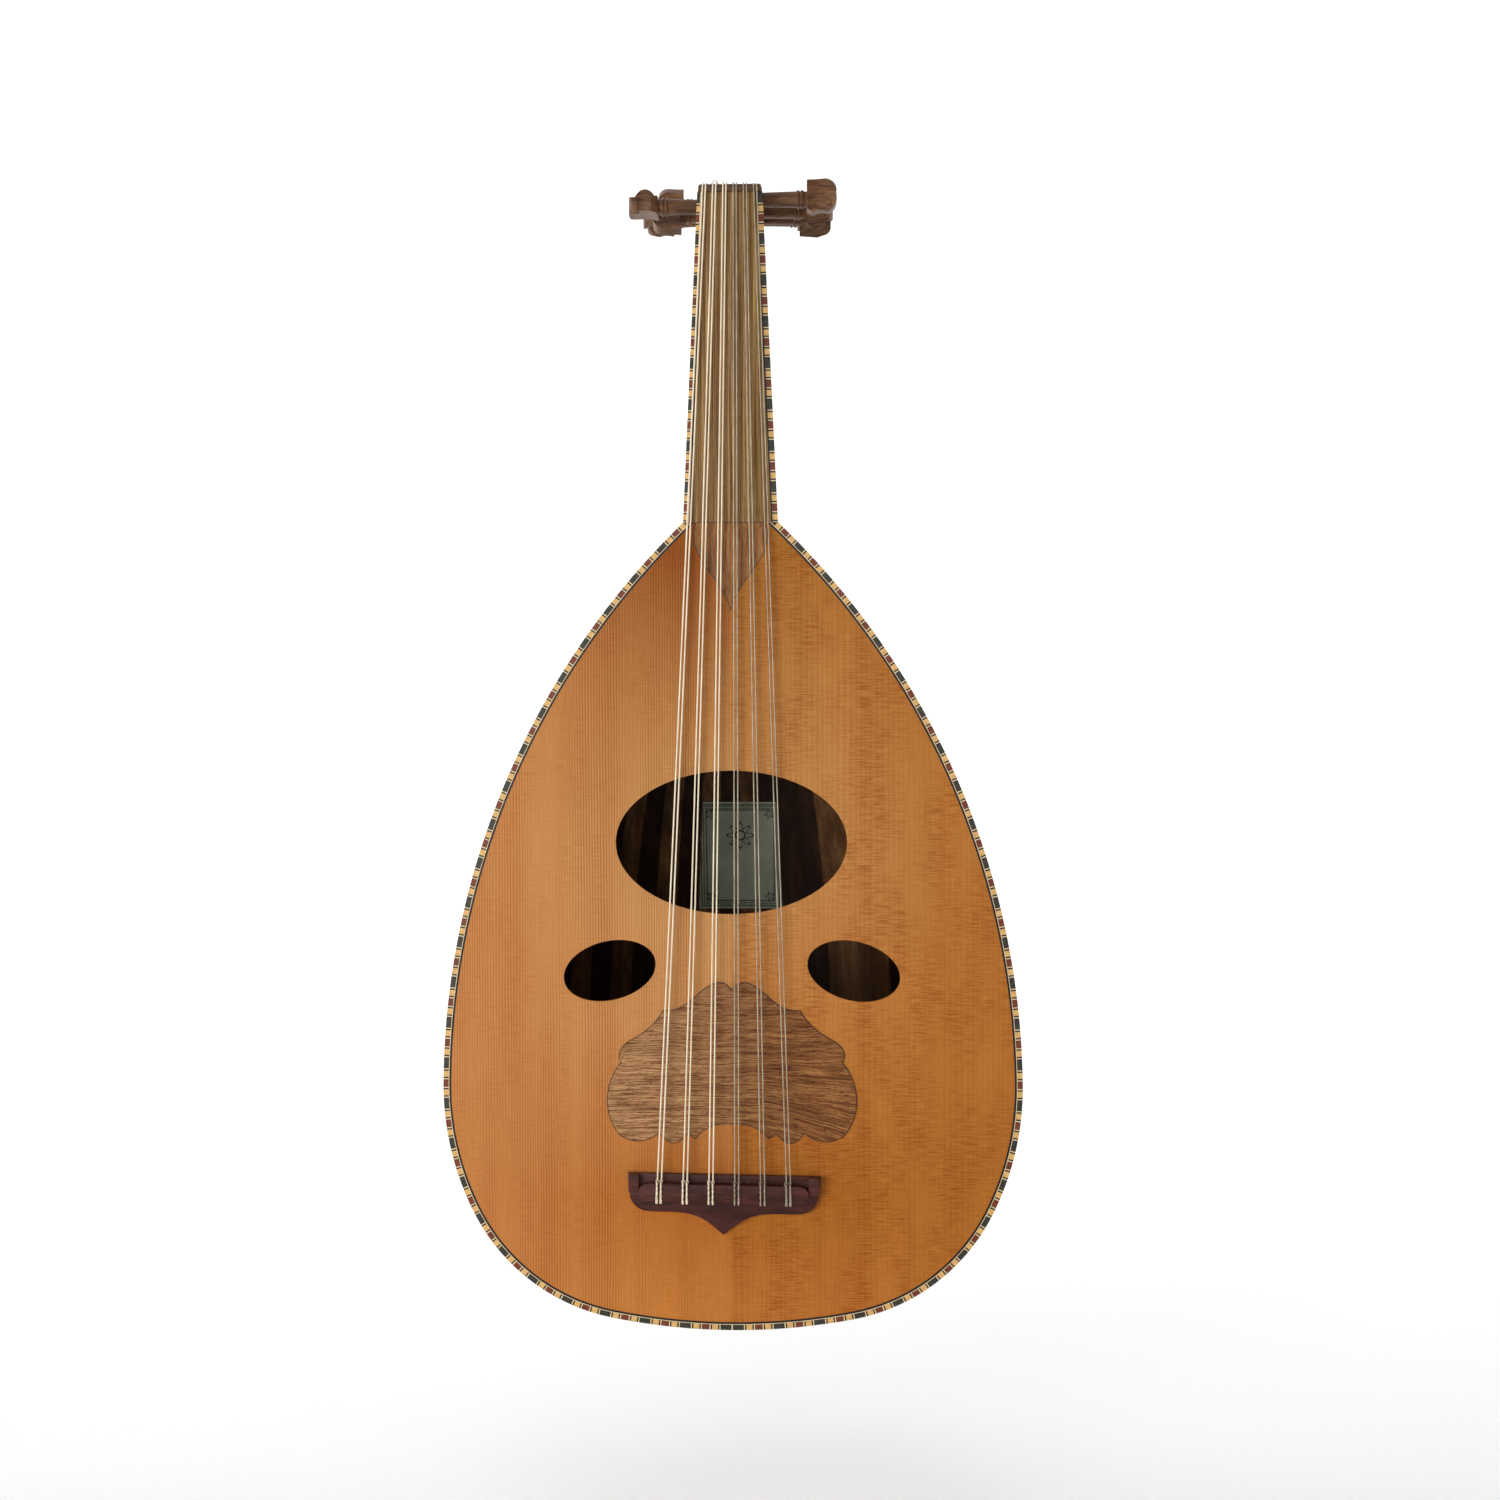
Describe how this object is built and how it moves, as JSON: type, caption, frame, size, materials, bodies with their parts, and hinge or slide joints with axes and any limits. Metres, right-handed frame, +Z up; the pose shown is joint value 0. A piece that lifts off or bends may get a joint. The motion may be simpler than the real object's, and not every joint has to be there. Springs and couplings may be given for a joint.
{
  "type": "oud",
  "caption": "Short-necked fretless lute with a ribbed bowl, bent-back pegbox with turning wooden pegs, oval sound holes and a tied bridge.",
  "frame": {"origin": "on the centre line, in the plane of the face, at the line where the strings leave the nut, where the fork of a wall hanger takes the neck", "axes": "+X to the right of a person who looks at the face, +Y back through the bowl, +Z up the neck; the face looks along -Y"},
  "size_m": [0.345, 0.1954, 0.7327],
  "materials": {
    "light_rib": "satin walnut, straight grain",
    "dark_rib": "satin dark walnut, straight grain",
    "soundboard_left_cedar": "oiled cedar, fine straight grain",
    "soundboard_right_cedar": "oiled cedar, fine straight grain",
    "spruce": "bare spruce",
    "block_wood": "bare softwood",
    "mosaic": "satin, blocks of maple, dark and red-brown wood",
    "inlay_walnut": "oiled walnut",
    "fingerboard_walnut": "oiled walnut",
    "raqma_walnut": "oiled walnut, cross grain",
    "neck_walnut": "satin walnut",
    "pegbox_walnut": "satin walnut",
    "nut_wood": "polished hardwood",
    "rosewood": "polished rosewood",
    "peg_walnut": "satin walnut",
    "wound_gut": "cream opaque string",
    "clear_nylon": "pale clear string",
    "paper": "paper with a plain ornamental border"
  },
  "bodies": {
    "instrument": {"ribs_light_1": "light_rib", "ribs_light_2": "light_rib", "ribs_light_3": "light_rib", "ribs_light_4": "light_rib", "ribs_light_5": "light_rib", "ribs_light_6": "light_rib", "ribs_dark_1": "dark_rib", "ribs_dark_2": "dark_rib", "ribs_dark_3": "dark_rib", "ribs_dark_4": "dark_rib", "ribs_dark_5": "dark_rib", "ribs_dark_6": "dark_rib", "neck_block": "block_wood", "tail_block": "block_wood", "tail_clasp": "neck_walnut", "label": "paper", "soundboard_left": "soundboard_left_cedar", "soundboard_right": "soundboard_right_cedar", "soundboard_bars": "spruce", "body_binding": "mosaic", "fingerboard_point": "inlay_walnut", "raqma": "raqma_walnut", "neck": "neck_walnut", "fingerboard": "fingerboard_walnut", "neck_binding": "mosaic", "pegbox_left_side": "pegbox_walnut", "pegbox_right_side": "pegbox_walnut", "pegbox_floor": "pegbox_walnut", "pegbox_end": "pegbox_walnut", "nut": "nut_wood", "bridge": "rosewood", "string_01": "wound_gut", "string_02": "wound_gut", "string_03": "wound_gut", "string_04": "wound_gut", "string_05": "wound_gut", "string_06": "wound_gut", "string_07": "clear_nylon", "string_08": "clear_nylon", "string_09": "clear_nylon", "string_10": "clear_nylon", "string_11": "clear_nylon", "string_12": "clear_nylon"},
    "peg_right_1": {"peg_right_1": "peg_walnut"},
    "peg_left_1": {"peg_left_1": "peg_walnut"},
    "peg_right_2": {"peg_right_2": "peg_walnut"},
    "peg_left_2": {"peg_left_2": "peg_walnut"},
    "peg_right_3": {"peg_right_3": "peg_walnut"},
    "peg_left_3": {"peg_left_3": "peg_walnut"},
    "peg_right_4": {"peg_right_4": "peg_walnut"},
    "peg_left_4": {"peg_left_4": "peg_walnut"},
    "peg_right_5": {"peg_right_5": "peg_walnut"},
    "peg_left_5": {"peg_left_5": "peg_walnut"},
    "peg_right_6": {"peg_right_6": "peg_walnut"},
    "peg_left_6": {"peg_left_6": "peg_walnut"}
  },
  "joints": [
    {"name": "peg_right_1_turn", "type": "hinge", "parent": "instrument", "child": "peg_right_1", "pos_m": [0, 0.018, 0.0003], "axis": [1, 0, 0], "continuous": true},
    {"name": "peg_left_1_turn", "type": "hinge", "parent": "instrument", "child": "peg_left_1", "pos_m": [0, 0.032, 0.00063], "axis": [1, 0, 0], "continuous": true},
    {"name": "peg_right_2_turn", "type": "hinge", "parent": "instrument", "child": "peg_right_2", "pos_m": [0, 0.04596, 0.00163], "axis": [1, 0, 0], "continuous": true},
    {"name": "peg_left_2_turn", "type": "hinge", "parent": "instrument", "child": "peg_left_2", "pos_m": [0, 0.05986, 0.0033], "axis": [1, 0, 0], "continuous": true},
    {"name": "peg_right_3_turn", "type": "hinge", "parent": "instrument", "child": "peg_right_3", "pos_m": [0, 0.07366, 0.00562], "axis": [1, 0, 0], "continuous": true},
    {"name": "peg_left_3_turn", "type": "hinge", "parent": "instrument", "child": "peg_left_3", "pos_m": [0, 0.08734, 0.00859], "axis": [1, 0, 0], "continuous": true},
    {"name": "peg_right_4_turn", "type": "hinge", "parent": "instrument", "child": "peg_right_4", "pos_m": [0, 0.10086, 0.01222], "axis": [1, 0, 0], "continuous": true},
    {"name": "peg_left_4_turn", "type": "hinge", "parent": "instrument", "child": "peg_left_4", "pos_m": [0, 0.1142, 0.01648], "axis": [1, 0, 0], "continuous": true},
    {"name": "peg_right_5_turn", "type": "hinge", "parent": "instrument", "child": "peg_right_5", "pos_m": [0, 0.12731, 0.02138], "axis": [1, 0, 0], "continuous": true},
    {"name": "peg_left_5_turn", "type": "hinge", "parent": "instrument", "child": "peg_left_5", "pos_m": [0, 0.14018, 0.02689], "axis": [1, 0, 0], "continuous": true},
    {"name": "peg_right_6_turn", "type": "hinge", "parent": "instrument", "child": "peg_right_6", "pos_m": [0, 0.15277, 0.03301], "axis": [1, 0, 0], "continuous": true},
    {"name": "peg_left_6_turn", "type": "hinge", "parent": "instrument", "child": "peg_left_6", "pos_m": [0, 0.16505, 0.03972], "axis": [1, 0, 0], "continuous": true}
  ]
}
